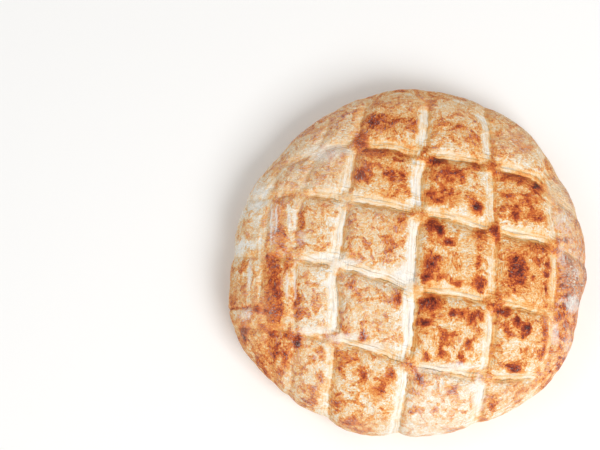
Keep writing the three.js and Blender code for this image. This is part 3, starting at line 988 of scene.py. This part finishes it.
in_channel = add_node(tree, "MapRange", {"Value": facts["mottle"], "From Min": 0.9, "From Max": 0.3})
channel_streaks = []
for mark_frame in frames.values():
    clear = add_node(tree, "SeparateXYZ", {0: mark_frame}, "Z")
    clear = add_node(tree, "MapRange", {"Value": clear, "From Max": 0.3})
    along_mark = add_node(tree, "Mapping", {"Vector": mark_frame, "Scale": (STREAK_SQUEEZE, 1.0, 0.0)})
    streak = add_node(
        tree, "TexNoise", {"Vector": along_mark, "Scale": 1 / (CHANNEL_SPACING * MM), "Detail": 2.0}
    )
    streak = add_node(tree, "Math", {0: streak, 1: STREAK_MIDDLE}, operation="SUBTRACT")
    streak = add_node(tree, "Math", {0: streak, 1: clear}, operation="MULTIPLY")
    streak = add_node(tree, "Math", {0: streak, 1: in_channel}, operation="MULTIPLY")
    channel_streaks.append(streak)
    level = add_node(tree, "Math", {0: streak, 1: CHANNEL_STREAKS, 2: level}, operation="MULTIPLY_ADD")
print(len(channel_streaks), "sets of streaks in the channels, and one on the sides")

# %% [markdown]
# ### Colour
#
# All patterns have now been added to the bake, and one ramp turns the sum into colour. Its stops go
# from raw flour to char in even steps, as a baker's colour card does.

# %% Colour from the bake
CRUST_RAMP = [
    (0.00, "#FFFCF5"), (0.10, "#FCF2E0"), (0.20, "#F9E1BE"), (0.30, "#F8CC90"), (0.40, "#F3AE60"),
    (0.50, "#E88E44"), (0.60, "#D56C2C"), (0.70, "#B64C20"), (0.80, "#8C3219"), (0.90, "#641F15"),
    (1.00, "#441711"),
]
ramp_colour = add_node(tree, "ValToRGB", {0: level})
stops = ramp_colour.node.color_ramp.elements
while len(stops) < len(CRUST_RAMP):
    stops.new(0.5)
for stop, (position, hex_text) in zip(stops, CRUST_RAMP):
    stop.position = position
    stop.color = colour(hex_text)
print(len(CRUST_RAMP), "colours from raw to charred")

# %% [markdown]
# ### Ash and flour
#
# At the back left, and in places round the rim, the skin dried before it browned and has a dull beige
# bloom, called ash here. The baker's flour was left in other places. Both are dry and matt, and both
# catch on the wrinkles, so the wrinkle noise breaks up the bloom and the edge of the flour.

# %% Ash and flour
ASH_COLOUR = "#E2CAAC"
FLOUR_COLOUR = "#FFFAF1"
ASH_BREAKS = (0.30, 0.70)  # the part of the wrinkle noise over which the bloom goes from none to twice
FLOUR_CATCH = 1.6  # how strongly the wrinkles shape the edge of the flour
FLOUR_EDGE = (1.05, 1.75)
FLOUR_MOST = 0.9  # flour never hides the crust fully
ash_mottle = add_node(
    tree, "MapRange",
    {"Value": wrinkle, "From Min": ASH_BREAKS[0], "From Max": ASH_BREAKS[1], "To Max": 2.0},
)
ash_cover = add_node(tree, "Math", {0: ash_mottle, 1: facts["ash"]}, operation="MULTIPLY")
tint = add_node(
    tree, "Mix", {0: ash_cover, 6: ramp_colour, 7: colour(ASH_COLOUR)}, 2, data_type="RGBA"
)
caught = add_node(tree, "Math", {0: wrinkle, 1: FLOUR_CATCH, 2: facts["flour"]}, operation="MULTIPLY_ADD")
flour_cover = add_node(
    tree, "MapRange",
    {"Value": caught, "From Min": FLOUR_EDGE[0], "From Max": FLOUR_EDGE[1], "To Max": FLOUR_MOST},
)
tint = add_node(tree, "Mix", {0: flour_cover, 6: tint, 7: colour(FLOUR_COLOUR)}, 2, data_type="RGBA")
print("ash and flour laid over the crust")

# %% [markdown]
# ### Creases and painted shade
#
# At the bottom of a channel the skin folded, and a thin brown line shows there, with a fainter one
# beside it where the edge of the bar stood; both are darkened partly as painted shade in the fold. A
# broad soft band of painted shade lies on the short slope. All three come and go along the mark. They
# are drawn from the distance past the crease, with a slow noise that makes them wander.

# %% Creases and painted shade
# Each line: its place in mm past the bottom of the channel, its half width and its darkness. The first two
# are crease lines, partly painted shade; the third, on the short slope, is painted shade.
CREASES_AND_SHADE = [(0.0, 0.5, 0.85), (-2.4, 0.5, 0.45), (1.3, 1.4, 0.28)]
CREASE_AND_SHADE_COLOUR = "#9A7A45"
CREASE_SQUEEZE = (0.10, 0.6, 0.0)  # bends and gaps are long along the mark
WANDER = 1.8  # mm, both the size of a bend before it is stretched and how far the line strays
GAP_SIZE = 1.1  # mm before it is stretched
GAP_EDGE = (0.40, 0.55)  # the part of the noise over which a line fades out

crease_and_shade_lines = []
for mark_frame in frames.values():
    parts = add_node(tree, "SeparateXYZ", {0: mark_frame})
    past_crease, clear = parts.node.outputs[1], parts.node.outputs[2]
    line = add_node(tree, "Mapping", {"Vector": mark_frame, "Scale": CREASE_SQUEEZE})
    wander = add_node(tree, "TexNoise", {"Vector": line, "Scale": 1 / (WANDER * MM), "Detail": 1.0})
    wandered = add_node(tree, "Math", {0: wander, 1: WANDER * MM, 2: past_crease}, operation="MULTIPLY_ADD")
    for place_mm, half_width, darkness in CREASES_AND_SHADE:
        shifted = add_node(tree, "Mapping", {"Vector": line, "Location": (place_mm, 0.0, 0.0)})
        broken = add_node(
            tree, "TexNoise", {"Vector": shifted, "Scale": 1 / (GAP_SIZE * MM), "Detail": 1.0}
        )
        shows = add_node(
            tree, "MapRange",
            {"Value": broken, "From Min": GAP_EDGE[0], "From Max": GAP_EDGE[1], "To Max": darkness},
        )
        shows = add_node(tree, "Math", {0: shows, 1: clear}, operation="MULTIPLY")
        middle = (place_mm + WANDER / 2) * MM  # the noise is half way between 0 and 1 on average
        off_line = add_node(tree, "Math", {0: wandered, 1: middle}, operation="SUBTRACT")
        off_line = add_node(tree, "Math", {0: off_line}, operation="ABSOLUTE")
        crease = add_node(
            tree, "MapRange", {"Value": off_line, "From Max": half_width * MM, "To Min": 1.0, "To Max": 0.0}
        )
        crease = add_node(tree, "Math", {0: crease, 1: shows}, operation="MULTIPLY")
        crease_and_shade_lines.append(crease)
        # The lines darken the colour: the crease lines are partly painted shade, and the band on the short
        # slope is painted shade.
        tint = add_node(tree, "Mix", {0: crease, 6: tint, 7: colour(CREASE_AND_SHADE_COLOUR)}, 2, data_type="RGBA")
print(len(crease_and_shade_lines), "crease lines")

# %% [markdown]
# ### Relief and gloss
#
# The wrinkles, speckle and creases are too fine for the mesh, so they are bumps, a fraction of a
# millimetre high. The crust is dry, so it is nearly matt, and only the charred skin shines a little.

# %% Relief, gloss and shader
SPECKLE_RELIEF = 0.8  # beside the wrinkles, which count 1
RELIEF_HEIGHT = 0.9  # mm for a sum of 1
# The other patterns, each with how strongly it counts beside the wrinkles. Creases go in.
RELIEF = [(cloud, 1.2), (side_streak, 1.5)]
RELIEF += [(streak, 2.0) for streak in channel_streaks] + [(crease, -0.9) for crease in crease_and_shade_lines]
relief = add_node(tree, "Math", {0: speckle, 1: SPECKLE_RELIEF, 2: wrinkle}, operation="MULTIPLY_ADD")
relief = add_node(tree, "Math", {0: relief, 1: fine_share}, operation="MULTIPLY")
for pattern, weight in RELIEF:
    relief = add_node(tree, "Math", {0: pattern, 1: weight, 2: relief}, operation="MULTIPLY_ADD")
bump = add_node(tree, "Bump", {"Height": relief, "Strength": 0.9, "Distance": RELIEF_HEIGHT * MM})
gloss = add_node(
    tree, "MapRange", {"Value": level, "From Min": 0.2, "To Min": 0.78, "To Max": 0.50}
)
shader = add_node(
    tree, "BsdfPrincipled",
    {"Base Color": tint, "Roughness": gloss, "Normal": bump, "IOR": 1.45, "Specular IOR Level": 0.35},
)
add_node(tree, "OutputMaterial", {"Surface": shader})
skin.materials.append(crust)
print("crust material with", len(tree.nodes), "nodes")

# %% [markdown]
# ## Table and light
#
# A pale table and a bright, soft studio: one broad lamp from the front right, which draws the pillows,
# a weaker one from the back left, and an even white sky that fills their shadows. The table is a board
# painted matt white: rough all over, so it shows no lamp and no pattern.

# %% Floor and light
TABLE_SIZE = 8.0  # metres, so that its edge is far away
SKY_STRENGTH = 0.45

bpy.ops.object.select_all(action="DESELECT")
bpy.ops.mesh.primitive_plane_add(size=TABLE_SIZE, location=(0, 0, cad_low.z))
table = bpy.context.object
table.name = "pale_table"
paint = bpy.data.materials.new("matt_white_board")
paint.use_nodes = True
painted = paint.node_tree.nodes["Principled BSDF"].inputs
painted["Base Color"].default_value = colour("#FDFCFA")
painted["Roughness"].default_value = 0.9
table.data.materials.append(paint)


def soft_lamp(name, turn_deg, elevation_deg, distance, size, power):
    """A square lamp that looks at the bread from a direction, in degrees, metres and watts."""
    t, e = math.radians(turn_deg), math.radians(elevation_deg)
    towards = Vector((math.cos(t) * math.cos(e), math.sin(t) * math.cos(e), math.sin(e)))
    data = bpy.data.lights.new(name, "AREA")
    data.shape = "SQUARE"
    data.size = size
    data.energy = power
    lamp = bpy.data.objects.new(name, data)
    lamp.location = towards * distance
    lamp.rotation_euler = towards.to_track_quat("Z", "Y").to_euler()
    bpy.context.scene.collection.objects.link(lamp)


soft_lamp("key_front_right", turn_deg=-52, elevation_deg=50, distance=1.6, size=0.9, power=19)
soft_lamp("fill_back_left", turn_deg=160, elevation_deg=45, distance=1.8, size=1.4, power=5)
world = bpy.data.worlds.new("white_studio")
bpy.context.scene.world = world
world.use_nodes = True
sky = world.node_tree.nodes["Background"].inputs
sky["Color"].default_value = (1, 1, 1, 1)
sky["Strength"].default_value = SKY_STRENGTH
bpy.context.scene.view_settings.view_transform = "Standard"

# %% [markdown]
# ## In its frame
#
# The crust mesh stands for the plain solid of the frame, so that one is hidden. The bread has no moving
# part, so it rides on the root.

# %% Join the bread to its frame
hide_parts("flatbread")
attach(bread, "root")
